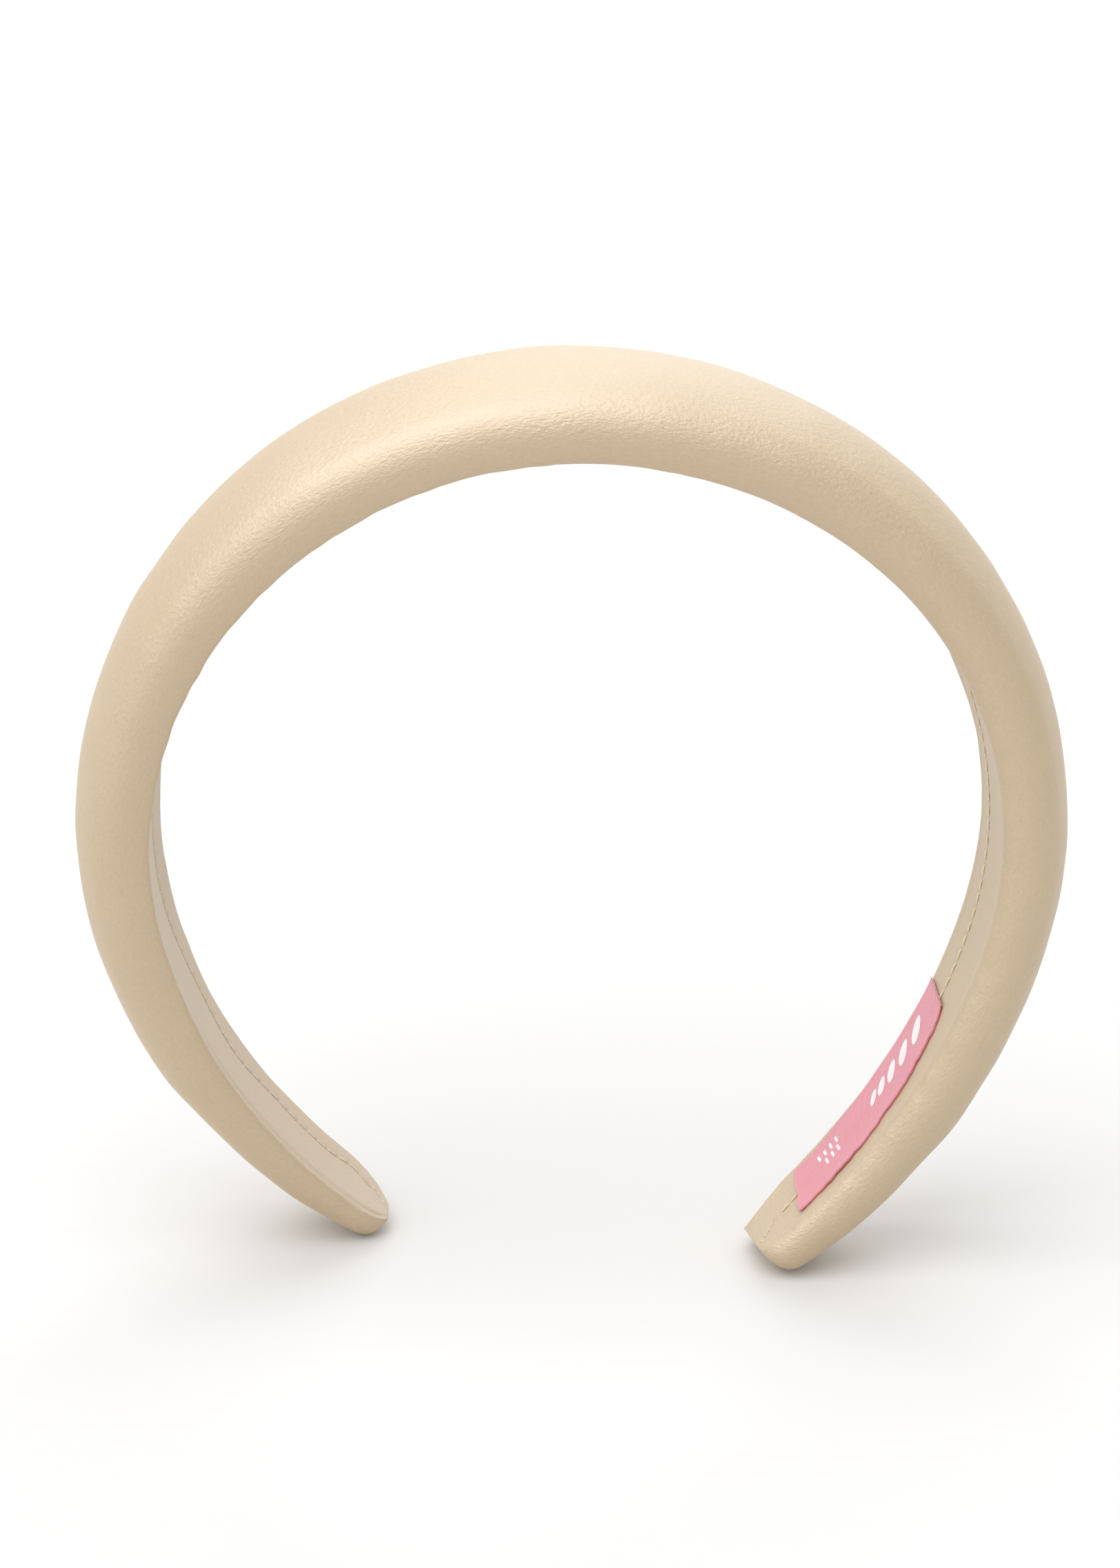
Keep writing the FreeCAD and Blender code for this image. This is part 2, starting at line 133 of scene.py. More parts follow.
# how far the far edge stands out beyond the CAD law near each tip: (distance from tip, extra)
FAR_EXTRA = {
    RIGHT: ((0.0, 2.2), (20.0, 2.2), (46.0, 0.0)),
    LEFT: ((0.0, 1.6), (20.0, 1.3), (34.0, 0.0), (50.0, -0.8), (66.0, 0.0)),
}
# how far the pad stands above the CAD law: (distance from tip, extra)
LOFT_EXTRA = {
    RIGHT: ((0.0, 0.8), (10.0, 0.85), (20.0, 1.1), (30.0, 1.0), (40.0, 1.3), (50.0, 0.9), (60.0, 0.5),
            (75.0, 0.1), (125.0, 0.1), (165.0, 0.6), (200.0, 0.8)),
    LEFT: ((0.0, -0.9), (8.0, -1.4), (20.0, -1.0), (28.0, -0.9), (37.0, -0.7), (46.0, 0.1), (56.0, 0.3),
           (75.0, 0.1), (125.0, 0.4), (155.0, 0.9), (200.0, 0.8)),
}
# how far the pad's near side sags past the inner face: (distance from tip, sag)
SAG = {
    RIGHT: ((85.0, 0.0), (100.0, -0.15), (118.0, -0.2), (135.0, 0.0), (160.0, 0.4), (200.0, 0.5)),
    LEFT: ((0.0, 0.0), (40.0, 0.1), (70.0, 0.8), (150.0, 0.8), (200.0, 0.5)),
}
SAG_SPREAD = 2.6
# the same for the far side, sloping evenly up to the seam
FAR_SAG = {
    RIGHT: ((70.0, 0.0), (85.0, -0.2), (98.0, 0.0), (115.0, 0.9), (128.0, 0.8), (148.0, 0.0)),
    LEFT: ((50.0, 0.0), (62.0, 0.3), (76.0, 0.9), (90.0, 1.15), (100.0, 0.9), (114.0, 0.0)),
}
# where the seam runs across the band: (distance from tip, place across)
SEAM_PATH = {
    RIGHT: ((0.0, -4.6), (2.0, -2.2), (6.0, 0.8), (13.0, 1.5), (60.0, 2.9), (90.0, 4.2), (115.0, 6.2),
            (150.0, 6.0), (200.0, 5.4)),
    LEFT: ((0.0, -1.6), (3.5, 2.6), (9.0, 5.6), (16.0, 4.9), (26.0, 3.8), (40.0, 3.3), (52.0, 4.0),
           (200.0, 5.4)),
}

# ---- the ribbon label, by distance from the right tip ----
LABEL_NEAR = ((12.6, -5.1), (26.0, -4.85), (38.0, -4.3), (44.0, -3.9), (52.0, -2.5), (55.0, -1.0))
LABEL_FAR = ((12.6, 8.4), (26.0, 9.3), (38.0, 10.0), (55.0, 10.2))
LABEL_START, LABEL_END = 12.6, 54.6
LABEL_GAUGE = 0.3
LABEL_FLAT = (0.0142, 0.042)
LABEL_WIDTH = 1000 * LABEL_FLAT[0]
LABEL_CLEARANCE, LABEL_STEP, STEP_REACH = 0.15, 0.12, 0.7  # it steps up over the seam's upper flap
RAGGED, END_RIPPLE, END_SLANT, END_CURL, CURL_REACH = 0.12, 0.12, 0.9, 0.12, 1.2
RAGGED_RIPPLE, END_RAGGED, END_RUN = (31, 2.0, 6.0), (33, 2.5, 7.0), 14
LABEL_RIPPLE, LABEL_WAVE = (32, 9, 24), 0.04
NEAR_CURL, NEAR_CURL_SPREAD, FAR_CURL, FAR_CURL_SPREAD = 0.04, 0.06, 0.08, 0.08
END_SHIFT, END_HOLD = 0.8, 6  # how far the ragged end shifts the ribbon, and how soon that dies away
LABEL_ROWS, LABEL_COLUMNS, FILM_COLUMNS = 85, 37, 30
# the backing film under the label; its dark edge beside the near edge is partly painted shade
FILM_SETBACK, FILM_GAUGE, FILM_OVERHANG, FILM_FAR = 0.13, 0.12, 0.008, 0.99

# ---- the plain print on the label ----
OVALS, OVAL_START, OVAL_PITCH, OVAL_CLOSING, OVAL_SHRINK = 5, 47.0, 4.9, 0.35, 0.11
OVAL_SHARE, OVAL_LENGTH, OVAL_WIDTH, OVAL_ANGLE = 0.56, 2.9, 6.4, -0.45
DASH_SHARES, DASH_START, DASH_PITCH = (0.47, 0.68), 22.8, 1.5
DASH_LENGTH, DASH_WIDTH, DASH_ANGLE, DASH_SQUARE = 0.55, 2.3, 0.15, 6.0
INK_RINGS, INK_SPOKES, INK_LIFT = 5, 28, 0.02

# ---- the camera ----
PICTURE_HEIGHT = 2274
CAMERA_ELEVATION, CAMERA_AZIMUTH, CAMERA_ROLL = 0.38, -0.054, 0.0168
CAMERA_DISTANCE = 700.0
CAMERA_TARGET = (-2.35, 0.0, CROWN_CENTRE + 10.39)
FOCAL_PIXELS = 6082.3
SENSOR = 36.0

# ---- the studio ----
FLOOR_HALF_SIDE = 6000.0
SURROUND_LEVEL = 0.7
# direction, spread in degrees, strength, and whether it lights matt surfaces
LIGHTS = {
    "overhead_light": ((-0.25, -0.2, 0.9), 60.0, 1.4, True),
    "side_light": ((-0.8, -0.5, 0.2), 80.0, 0.5, True),
    "gloss_light": ((-0.3, -0.2, 0.9), 95.0, 2.7, False),
    "rim_light": ((0.1, 0.95, 0.15), 130.0, 0.9, False),
    "back_light": ((0.15, 0.8, 0.55), 50.0, 0.9, True),
}

# ---- a bend's reach and level at a hinge, not used to bend anything ----
BEND_REACH, BEND_LEVEL = 15.0, 1.2


# ---------------------------------------------------------------- geometry helpers

def eased(points, at):
    """A smooth path through a few (place, level) points."""
    places, levels = (np.array(column, float) for column in zip(*points))
    at = np.clip(at, places[0], places[-1])
    step = np.clip(np.searchsorted(places, at) - 1, 0, len(places) - 2)
    share = (at - places[step]) / (places[step + 1] - places[step])
    return levels[step] + (levels[step + 1] - levels[step]) * share * share * (3 - 2 * share)


def ripple(seed, shortest, longest, along, across):
    """Smooth noise of about unit size, made of plane waves between two lengths."""
    random = np.random.default_rng(seed)
    total = 0.0
    for _ in range(WAVES):
        wave = 2 * math.pi / random.uniform(shortest, longest)
        heading = random.uniform(0, math.pi)
        phase = random.uniform(0, 2 * math.pi)
        total = total + np.cos(wave * (along * math.cos(heading) + across * math.sin(heading)) + phase)
    return total / math.sqrt(WAVES / 2)


def bump_at(value, centre, spread):
    """A bell of height 1."""
    return np.exp(-((value - centre) / spread) ** 2)


def arch(distance):
    """Reach, height and turn of the inner face's middle line, by distance from the top."""
    reach, height, turn = (np.zeros_like(distance, dtype=float) for _ in range(3))
    centre_x, centre_z, begin, angle = 0.0, CROWN_CENTRE, 0.0, 0.0
    for index, (radius, sweep) in enumerate(ARCS):
        here = distance >= begin
        now = angle + (distance - begin) / radius
        reach = np.where(here, centre_x + radius * np.sin(now), reach)
        height = np.where(here, centre_z + radius * np.cos(now), height)
        turn = np.where(here, now, turn)
        angle += math.radians(sweep)
        begin += radius * math.radians(sweep)
        if index + 1 < len(ARCS):
            change = radius - ARCS[index + 1][0]
            centre_x += change * math.sin(angle)
            centre_z += change * math.cos(angle)
    return reach, height, turn


def place(along, across, outward):
    """Points in millimetres: signed distance from the top (right is +), across, and off the inner face."""
    along, across, outward = np.broadcast_arrays(*(np.asarray(v, float) for v in (along, across, outward)))
    side = np.where(along < 0, LEFT, RIGHT)
    distance = np.abs(along)
    reach, height, turn = arch(distance)
    setting = TIP_SET * (distance / LENGTH) ** SET_POWER
    return np.stack([
        side * (reach + outward * np.sin(turn)),
        across - side * setting,
        height + outward * np.cos(turn),
    ], axis=-1)


def rest_on_floor(points):
    """Flattens what would reach below the floor."""
    height = points[..., 2]
    points[..., 2] = (height + np.sqrt(height ** 2 + FLOOR_BLEND ** 2)) / 2
    return points


def half_width(distance):
    return CROWN_HALF_WIDTH - (CROWN_HALF_WIDTH - TIP_HALF_WIDTH) * (distance / LENGTH) ** WIDTH_POWER


def loft(distance):
    return CROWN_LOFT - (CROWN_LOFT - TIP_LOFT) * (distance / LENGTH) ** LOFT_POWER


def by_side(along, right, left):
    """The left or right leg's value, blended across the top."""
    share = np.clip(0.5 + along / SIDE_BLEND, 0, 1)
    return left + (right - left) * share


def of_side(along, values):
    return by_side(along, values[RIGHT], values[LEFT])


def path_of_side(along, paths):
    """The value at each place of the path that its leg has, by distance from the tip."""
    from_tip = LENGTH - np.abs(along)
    return by_side(along, eased(paths[RIGHT], from_tip), eased(paths[LEFT], from_tip))


def rounding(from_tip, reach, power, sharpness):
    """1 along the band, falling to 0 at the tip over the given reach."""
    share = np.clip(1 - from_tip / reach, 0, 1)
    return (1 - share ** power) ** sharpness


def seam_at(along):
    """Where the seam's upper fold lies across the band."""
    from_tip = LENGTH - np.abs(along)
    path = path_of_side(along, SEAM_PATH)
    wander = of_side(along, SEAM_WANDER) * ripple(*SEAM_RIPPLE, along, 0 * along)
    return path + wander * np.clip(from_tip / WANDER_REACH, 0, 1)


def pulled_at(along):
    """1 where a stitch pulls the seam in, and 0 between two such places."""
    return np.clip(np.cos(2 * math.pi * along / STITCH_PITCH), 0, 1) ** PULL_SHARPNESS


def edges_at(along):
    """Distances of the near and far creases from the middle line."""
    from_tip = LENGTH - np.abs(along)
    width = half_width(np.abs(along))

    def closed(full, closing):
        left_over, reach, power, sharpness = closing
        return full * (left_over + (1 - left_over) * rounding(from_tip, reach, power, sharpness))

    near = by_side(along, closed(width, NEAR_CLOSING[RIGHT]), closed(width, NEAR_CLOSING[LEFT]))
    far = by_side(along, closed(width + eased(FAR_EXTRA[RIGHT], from_tip), FAR_CLOSING[RIGHT]),
                  closed(width + eased(FAR_EXTRA[LEFT], from_tip), FAR_CLOSING[LEFT]))
    return near, far


def slanted(along, across):
    """The right tip ends at a slant, so the cover is sheared there."""
    from_tip = LENGTH - np.abs(along)
    shear = by_side(along, END_SHEAR, 0.0) * np.clip(1 - from_tip / SHEAR_REACH, 0, 1)
    return along - np.sign(along) * shear * np.clip(edges_at(along)[1] - across, 0, SHEAR_WIDTH)


def loft_at(along):
    """The pad's height, closing at the tips."""
    from_tip = LENGTH - np.abs(along)
    height = loft(np.abs(along)) + path_of_side(along, LOFT_EXTRA)
    right, left = rounding(from_tip, *LOFT_CLOSING[RIGHT]), rounding(from_tip, *LOFT_CLOSING[LEFT])
    return END_GAP + (height - END_GAP) * by_side(along, right, left)


def dome(half, height, share):
    """The pad's D-shaped outline: across and up for shares from -1 (near crease) to 1 (far crease)."""
    side = SIDE_ROUND * height
    centre = half - math.sqrt(SIDE_ROUND ** 2 - SIDE_LEVEL ** 2) * height
    drop = (1 - SIDE_LEVEL) * height
    top = (centre ** 2 + drop ** 2 - side ** 2) / (2 * (drop - side))
    lean = np.arcsin(centre / (top - side))
    foot = math.pi / 2 + math.asin(SIDE_LEVEL / SIDE_ROUND)
    crown_run, side_run = top * lean, side * (foot - lean)
    run = np.abs(share) * (crown_run + side_run)
    on_top = run <= crown_run
    angle = np.where(on_top, run / top, lean + (run - crown_run) / side)
    across = np.where(on_top, top * np.sin(angle), centre + side * np.sin(angle))
    up = np.where(on_top, height - top + top * np.cos(angle), SIDE_LEVEL * height + side * np.cos(angle))
    return np.sign(share) * across, up, np.sign(share) * run


# ---------------------------------------------------------------- mesh helpers

def new_object(name, vertices, faces):
    """A mesh object from points in millimetres."""
    mesh = bpy.data.meshes.new(name)
    mesh.from_pydata((np.asarray(vertices) * MM).tolist(), [], [list(face) for face in faces])
    mesh.update()
    mesh.shade_smooth()
    made = bpy.data.objects.new(name, mesh)
    bpy.context.collection.objects.link(made)
    return made


def grid_faces(rows, columns, closed):
    """Quads of a grid whose points are numbered row by row; closed joins the last column to the first."""
    row = np.arange(rows - 1)[:, None] * columns
    column = np.arange(columns if closed else columns - 1)[None, :]
    after = (column + 1) % columns
    corners = (row + column, row + columns + column, row + columns + after, row + after)
    return np.stack(corners, axis=-1).reshape(-1, 4)


def set_point_values(made, name, values):
    made.data.attributes.new(name, "FLOAT", "POINT").data.foreach_set("value", values.astype(np.float32))


def set_uv(made, along, around):
    """A UV map in millimetres, from values at the points."""
    loops = np.zeros(len(made.data.loops), dtype=np.int64)
    made.data.loops.foreach_get("vertex_index", loops)
    layer = made.data.uv_layers.new(name="weave")
    layer.data.foreach_set("uv", np.stack([along[loops], around[loops]], axis=-1).ravel())


def tube(path, radius, sides=THREAD_SIDES):
    """Vertices and faces of a round thread along a path, tapering into the cloth at both ends."""
    path = np.asarray(path, float)
    tangent = np.gradient(path, axis=0)
    tangent /= np.linalg.norm(tangent, axis=1)[:, None]
    across = np.cross(tangent, (0.3, 1.0, 0.2))
    across /= np.linalg.norm(across, axis=1)[:, None]
    up = np.cross(tangent, across)
    angle = np.linspace(0, 2 * math.pi, sides, endpoint=False)
    taper = radius * np.clip(np.sin(math.pi * np.linspace(0.06, 0.94, len(path))) * 1.7, 0, 1)
    ring = np.cos(angle)[None, :, None] * across[:, None] + np.sin(angle)[None, :, None] * up[:, None]
    points = path[:, None] + ring * taper[:, None, None]
    faces = grid_faces(len(path), sides, True).tolist()
    faces.append(list(range(sides)))
    faces.append([(len(path) - 1) * sides + i for i in reversed(range(sides))])
    return points.reshape(-1, 3), faces


def joined(parts):
    """One list of vertices and faces from several."""
    vertices, faces, count = [], [], 0
    for points, own in parts:
        vertices.append(points)
        faces += [[corner + count for corner in face] for face in own]
        count += len(points)
    return np.concatenate(vertices), faces


# ---------------------------------------------------------------- the cover

def cover_grid():
    """The whole cover as one grid: its points, and at each the distance along, the distance round from
    the top, the loss of gloss on the inner face, and the painted shade along the seam and in the creases."""
    body = np.arange(STATION_STEP, LENGTH - NOSE, STATION_STEP)
    nose = LENGTH - NOSE * (1 - np.sin(np.linspace(0, math.pi / 2, NOSE_STATIONS)))
    half = np.concatenate([body, nose])
    along = np.concatenate([-half[::-1], [0.0], half])[:, None]

    near, far = edges_at(along)
    height = loft_at(along)
    middle, width = (far - near) / 2, (far + near) / 2
    seam = np.clip(seam_at(along), SEAM_MARGINS[0] - near, far - SEAM_MARGINS[1])
    pulled = pulled_at(along)
    from_tip = LENGTH - np.abs(along)
    detail = np.clip(from_tip / DETAIL_REACH, DETAIL_AT_TIP, 1)
    notch = pulled * detail * of_side(along, NOTCH_DEPTH)
    seam = seam + PULL_SHIFT * pulled * detail
    roll = detail * of_side(along, EDGE_ROLL)
    valley = detail * of_side(along, VALLEY)

    share = np.linspace(-1, 1, DOME_COLUMNS)[None, :]
    dome_across, dome_up, dome_round = dome(width, height, share)
    dome_across = dome_across + middle
    sag, far_sag = path_of_side(along, SAG), path_of_side(along, FAR_SAG)
    dome_up = dome_up - sag * bump_at(dome_round, dome_round[:, :1], SAG_SPREAD)
    dome_up = dome_up - far_sag * bump_at(dome_round, dome_round[:, -1:], SAG_SPREAD)

    step = np.linspace(0, 1, NEAR_COLUMNS)[None, :-1]
    depth = GROOVE_DEPTH * detail
    near_start = seam - 1.1 * FOLD_RADIUS
    near_across = near_start + (-near - near_start) * step
    near_gap = near_start - near_across
    near_up = depth * np.exp(-near_gap / GROOVE_REACH) + notch * np.exp(-(near_gap / NOTCH_REACH) ** 2)
    near_up = near_up - roll * bump_at(near_across, ROLL_PLACE - near, ROLL_SPREAD)
    near_up = near_up + valley * bump_at(near_across, VALLEY_PLACE - near, VALLEY_SPREAD)
    near_up = near_up - sag * bump_at(near_across, -near, SAG_SPREAD / 2)

    step = np.linspace(0, 1, FAR_COLUMNS)[None, 1:]
    far_across = far + (seam - far) * step
    far_gap = far_across - seam
    lift = FOLD_LIFT * detail * (1 - PULL_HOLD * pulled)
    far_up = -lift * np.exp(-far_gap / FOLD_FALL) - FLAP_SAG * np.clip(far_gap / FLAP_REACH, 0, 1) * detail
    far_up = far_up + notch * np.exp(-(far_gap / NOTCH_REACH) ** 2)
    far_up = far_up - roll * bump_at(far_across, far - ROLL_PLACE, ROLL_SPREAD)
    far_up = far_up - far_sag * far_gap / (far - seam)

    angle = np.linspace(0, math.pi / 2, FOLD_COLUMNS + 1)[None, 1:]
    fold_across = seam - FOLD_RADIUS * np.sin(angle)
    fold_up = notch - lift + (lift + depth) * (1 - np.cos(angle))

    across = np.concatenate([near_across, dome_across, far_across, fold_across], axis=1)
    up = np.concatenate([near_up, dome_up, far_up, fold_up], axis=1)
    columns = across.shape[1]
    first_dome = NEAR_COLUMNS - 1
    last_dome = first_dome + DOME_COLUMNS - 1

    index = np.arange(columns)
    soften = np.maximum(bump_at(index, first_dome, SOFT_COLUMNS),
                        bump_at(index, last_dome, SOFT_COLUMNS))[None, :]
    for _ in range(CREASE_PASSES):
        for values in (across, up):
            smooth = sum(weight * np.roll(values, shift, axis=1)
                         for shift, weight in ((-2, 1), (-1, 4), (0, 6), (1, 4), (2, 1))) / 16
            values += soften * (smooth - values)

    gone_round = np.concatenate([
        dome_round[:, :1] - (near_across + near),
        dome_round,
        dome_round[:, -1:] + (far - far_across),
        dome_round[:, -1:] + (far - seam) + FOLD_RADIUS * angle,
    ], axis=1)
    columns_in = np.minimum(index - first_dome + 1, last_dome + 1 - index)
    inside = 1 - np.clip(columns_in / DULL_COLUMNS, 0, 1)
    dull = inside[None, :] * of_side(along, DULLNESS)

    # painted shade along the seam's groove, strongest at the seam, with a level set per leg
    seam_gap = np.abs(across - seam + FOLD_RADIUS / 2)
    on_face = np.ones((1, columns))
    on_face[:, first_dome:last_dome + 1] = 0
    crease = on_face * np.exp(-(seam_gap / SEAM_SHADE_REACH) ** 2) * detail * of_side(along, SEAM_SHADE)
    on_left = by_side(along, 0.0, 1.0)
    # painted shade in the left leg's near crease valley
    left_crease_shade = on_left * bump_at(across, -near + VALLEY_PLACE / 2, LEFT_CREASE_SHADE_SPREAD) * on_face
    # painted shade on the left leg's far flap, past the seam
    crease = crease + FAR_FLAP_SHADE * on_face * on_left * (across > seam) * detail
    crease = np.maximum(crease, left_crease_shade * np.clip(LEFT_CREASE_SHADE_LEVEL - from_tip / LEFT_CREASE_SHADE_LENGTH, 0, 1))
    points = place(slanted(along, across), across, up)

    outward = np.cross(np.gradient(points, axis=0),
                       (np.roll(points, -1, axis=1) - np.roll(points, 1, axis=1)))
    outward /= np.linalg.norm(outward, axis=-1)[..., None] + 1e-9
    relief = surface_relief(np.broadcast_to(along, across.shape), gone_round, inside[None, :],
                            dome_round[:, -1:], from_tip)
    points = rest_on_floor(points + outward * relief[..., None])
    return points, np.broadcast_to(along, across.shape), gone_round, dull, crease


def surface_relief(along, around, inside, edge, from_tip):
    """How far the silk stands off its plain form: the foam's swell, and crimps and drag lines beside
    the creases, all quieter on the inner face and at the tips."""
    calm = np.clip(from_tip / RELIEF_REACH, RELIEF_AT_TIP, 1)
    swell = SWELL_HEIGHT * ripple(*SWELL, along, around)
    swell = swell + FINE_SWELL_HEIGHT * ripple(*FINE_SWELL, along, around)
    crease_gap = np.abs(np.abs(around) - edge)
    crimp = CRIMP_HEIGHT * ripple(*CRIMP, along, around * CRIMP_SQUEEZE)
    drag = DRAG_HEIGHT * ripple(*DRAG, along * DRAG_ALONG + around * DRAG_LEAN, around * DRAG_AROUND)
    beside = crimp * np.exp(-crease_gap / CRIMP_REACH) + drag * np.exp(-crease_gap / DRAG_REACH)
    quiet = np.where(np.abs(around) > edge + 1e-6, INNER_QUIET, 1.0)
    return calm * quiet * (swell * (1 - INNER_SWELL * inside) + beside)


def vertex_normals(points):
    """Outward normals of the closed grid."""
    along = np.gradient(points, axis=0)
    around = np.roll(points, -1, axis=1) - np.roll(points, 1, axis=1)
    normal = np.cross(along, around)
    return normal / (np.linalg.norm(normal, axis=-1)[..., None] + 1e-12)


def build_covers():
    """Two silk covers that meet at the top, each following the crown and one leg."""
    points, along, around, dull, crease = cover_grid()
    normals = vertex_normals(points)
    rows, columns = along.shape
    top = rows // 2
    made = {}
    for name, rows_kept in (("left", slice(0, top + 1)), ("right", slice(top, rows))):
        part = points[rows_kept]
        faces = grid_faces(len(part), columns, True).tolist()
        end = 0 if name == "left" else (len(part) - 1) * columns
        cap = [end + i for i in range(columns)]
        faces.append(cap[::-1] if name == "left" else cap)
        cover = new_object(f"silk_cover_{name}", part.reshape(-1, 3), faces)
        set_uv(cover, along[rows_kept].ravel(), around[rows_kept].ravel())
        set_point_values(cover, "inside", dull[rows_kept].ravel())
        # the painted shade along the seam and creases rides on the cover as its crease attribute
        set_point_values(cover, "crease", crease[rows_kept].ravel())
        cover.data.normals_split_custom_set_from_vertices(normals[rows_kept].reshape(-1, 3).tolist())
        made[name] = cover
    return made


# ---------------------------------------------------------------- threads

def stitch_path(along, slant):
    """A slip stitch that surfaces in the seam and runs along it to the next pull."""
    steps = np.linspace(-1, 1, STITCH_POINTS)
    run = along + STITCH_REACH * STITCH_PITCH * steps
    across = seam_at(run) - STITCH_SHIFT + slant * steps
    rise = of_side(along, STITCH_RISE) * np.clip(1 - steps ** 2, 0, 1) ** STITCH_ROUND
    outward = STITCH_START - rise
    return place(slanted(run, across), across, outward)


def tack_path(along):
    """A short oversewn stitch that closes the end of the seam."""
    steps = np.linspace(-1, 1, TACK_POINTS)
    across = seam_at(np.full(TACK_POINTS, along)) + TACK_REACH * steps
    outward = TACK_START - TACK_RISE * np.sqrt(1 - steps ** 2)
    return place(slanted(along + TACK_LEAN * steps, across), across, outward)


def build_threads():
    """The slip stitches of each half and the tacks at its tip, one mesh a side."""
    made = {}
    random = np.random.default_rng(THREAD_SEED)
    for name, side in (("left", LEFT), ("right", RIGHT)):
        stitches = []
        for number in range(int((LENGTH - STITCH_FREE_END) / STITCH_PITCH)):
            slant = random.uniform(-STITCH_SLANT, STITCH_SLANT)
            along = side * (number + 0.5) * STITCH_PITCH
            stitches.append(tube(stitch_path(along, slant), THREAD_RADIUS[side]))
        for number in range(TACKS):
            along = side * (LENGTH - FIRST_TACK - TACK_PITCH * number)
            stitches.append(tube(tack_path(along), TACK_RADIUS))
        made[name] = new_object(f"seam_thread_{name}", *joined(stitches))
    return made


# ---------------------------------------------------------------- the label

def label_surface(from_tip, share, lifted):
    """A point on the label: share runs from its near edge (0) to its far edge (1)."""
    near, far = eased(LABEL_NEAR, from_tip), eased(LABEL_FAR, from_tip)
    ragged = RAGGED * ripple(*RAGGED_RIPPLE, from_tip, 0 * from_tip)
    across = near + (ragged * (1 - share)) + (far - near) * share
    seam = seam_at(LENGTH - from_tip)
    step = 1 / (1 + np.exp(-(across - seam) / STEP_REACH))
    rise = LABEL_CLEARANCE + LABEL_STEP * step
    rise = rise + NEAR_CURL * bump_at(share, 0.0, NEAR_CURL_SPREAD)
    rise = rise + FAR_CURL * bump_at(share, 1.0, FAR_CURL_SPREAD)
    end = np.minimum(from_tip - LABEL_START, LABEL_END - from_tip)
    rise = rise + END_CURL * np.exp(-end / CURL_REACH)
    rise = rise + LABEL_WAVE * ripple(*LABEL_RIPPLE, from_tip, across)
    return place(LENGTH - from_tip, across, -(rise + lifted))


def slab(name, lengths, shares, surface, gauge):
    """A closed thin sheet between a surface and the same surface set back by its gauge."""
    run, wide = np.meshgrid(lengths, shares, indexing="ij")
    face, back = surface(run, wide, gauge), surface(run, wide, 0.0)
    rows, columns = run.shape
    ring = np.concatenate([face, back[:, ::-1]], axis=1)
    faces = grid_faces(rows, 2 * columns, True).tolist()
    total = 2 * columns
    for row, flip in ((0, False), (rows - 1, True)):
        for i in range(columns - 1):
            quad = [row * total + i, row * total + i + 1,
                    row * total + total - 2 - i, row * total + total - 1 - i]
            faces.append(quad if flip else quad[::-1])
    made = new_object(name, ring.reshape(-1, 3), faces)
    around = np.concatenate([wide, wide[:, ::-1]], axis=1) * LABEL_WIDTH
    set_uv(made, np.repeat(run[:, :1], total, axis=1).ravel(), around.ravel())
    return made


def build_label():
    """The ribbon, with its raw cut ends, and the dark backing film whose edge shows beside it, that edge
    partly a painted shadow line under the ribbon's raised edge.
    """
    lengths = np.linspace(LABEL_START, LABEL_END, LABEL_ROWS)
    shares = np.linspace(0, 1, LABEL_COLUMNS)
    film_shares = np.linspace(-FILM_OVERHANG, FILM_FAR, FILM_COLUMNS)

    def ribbon_surface(run, wide, lifted):
        middle = (LABEL_START + LABEL_END) / 2
        ends = END_RIPPLE * ripple(*END_RAGGED, wide * END_RUN, 0 * wide) - END_SLANT * (1 - wide)
        stretch = np.clip((middle - run) / (middle - LABEL_START), 0, 1) ** END_HOLD
        return label_surface(run + ends * stretch * END_SHIFT, wide, lifted)

    def film_surface(run, wide, lifted):
        return label_surface(run, wide, lifted - FILM_SETBACK)

    ribbon = slab("ribbon_cloth", lengths, shares, ribbon_surface, LABEL_GAUGE)
    film = slab("ribbon_film_and_shade", lengths[1:-1], film_shares, film_surface, FILM_GAUGE)
    return ribbon, film


def print_mark(from_tip, share, length, width, angle, square=2.0):
    """A flat printed patch on the label: an ellipse, or a bar with square above 2."""
    points = []
    for ring in range(INK_RINGS + 1):
        for spoke in range(INK_SPOKES):
            turn = 2 * math.pi * spoke / INK_SPOKES
            bulge = (abs(math.cos(turn)) ** square + abs(math.sin(turn)) ** square) ** (-1 / square)
            radius = ring / INK_RINGS * bulge
            x, y = radius * length / 2 * math.cos(turn), radius * width / 2 * math.sin(turn)
            points.append((x * math.cos(angle) - y * math.sin(angle),
                           x * math.sin(angle) + y * math.cos(angle)))
    points = np.array(points)
    wide = share + points[:, 1] / LABEL_WIDTH
    vertices = label_surface(from_tip + points[:, 0], wide, LABEL_GAUGE + INK_LIFT)
    faces = grid_faces(INK_RINGS + 1, INK_SPOKES, True)[:, ::-1].tolist()
    return vertices, faces


def build_print():
    """Plain white shapes in place of a printed mark: graded ovals and two rows of dashes."""
    marks = []
    for number in range(OVALS):
        size = 1 - OVAL_SHRINK * number
        at = OVAL_START - OVAL_PITCH * number + OVAL_CLOSING * number ** 2
        marks.append(print_mark(at, OVAL_SHARE, OVAL_LENGTH * size, OVAL_WIDTH * size, OVAL_ANGLE))
    for row, share in enumerate(DASH_SHARES):
        for number in range(3 + row):
            marks.append(print_mark(DASH_START - DASH_PITCH * number, share, DASH_LENGTH, DASH_WIDTH,
                                    DASH_ANGLE, DASH_SQUARE))
    return new_object("ribbon_print", *joined(marks))


# ---------------------------------------------------------------- materials

def link(tree, source, target):
    tree.links.new(source, target)


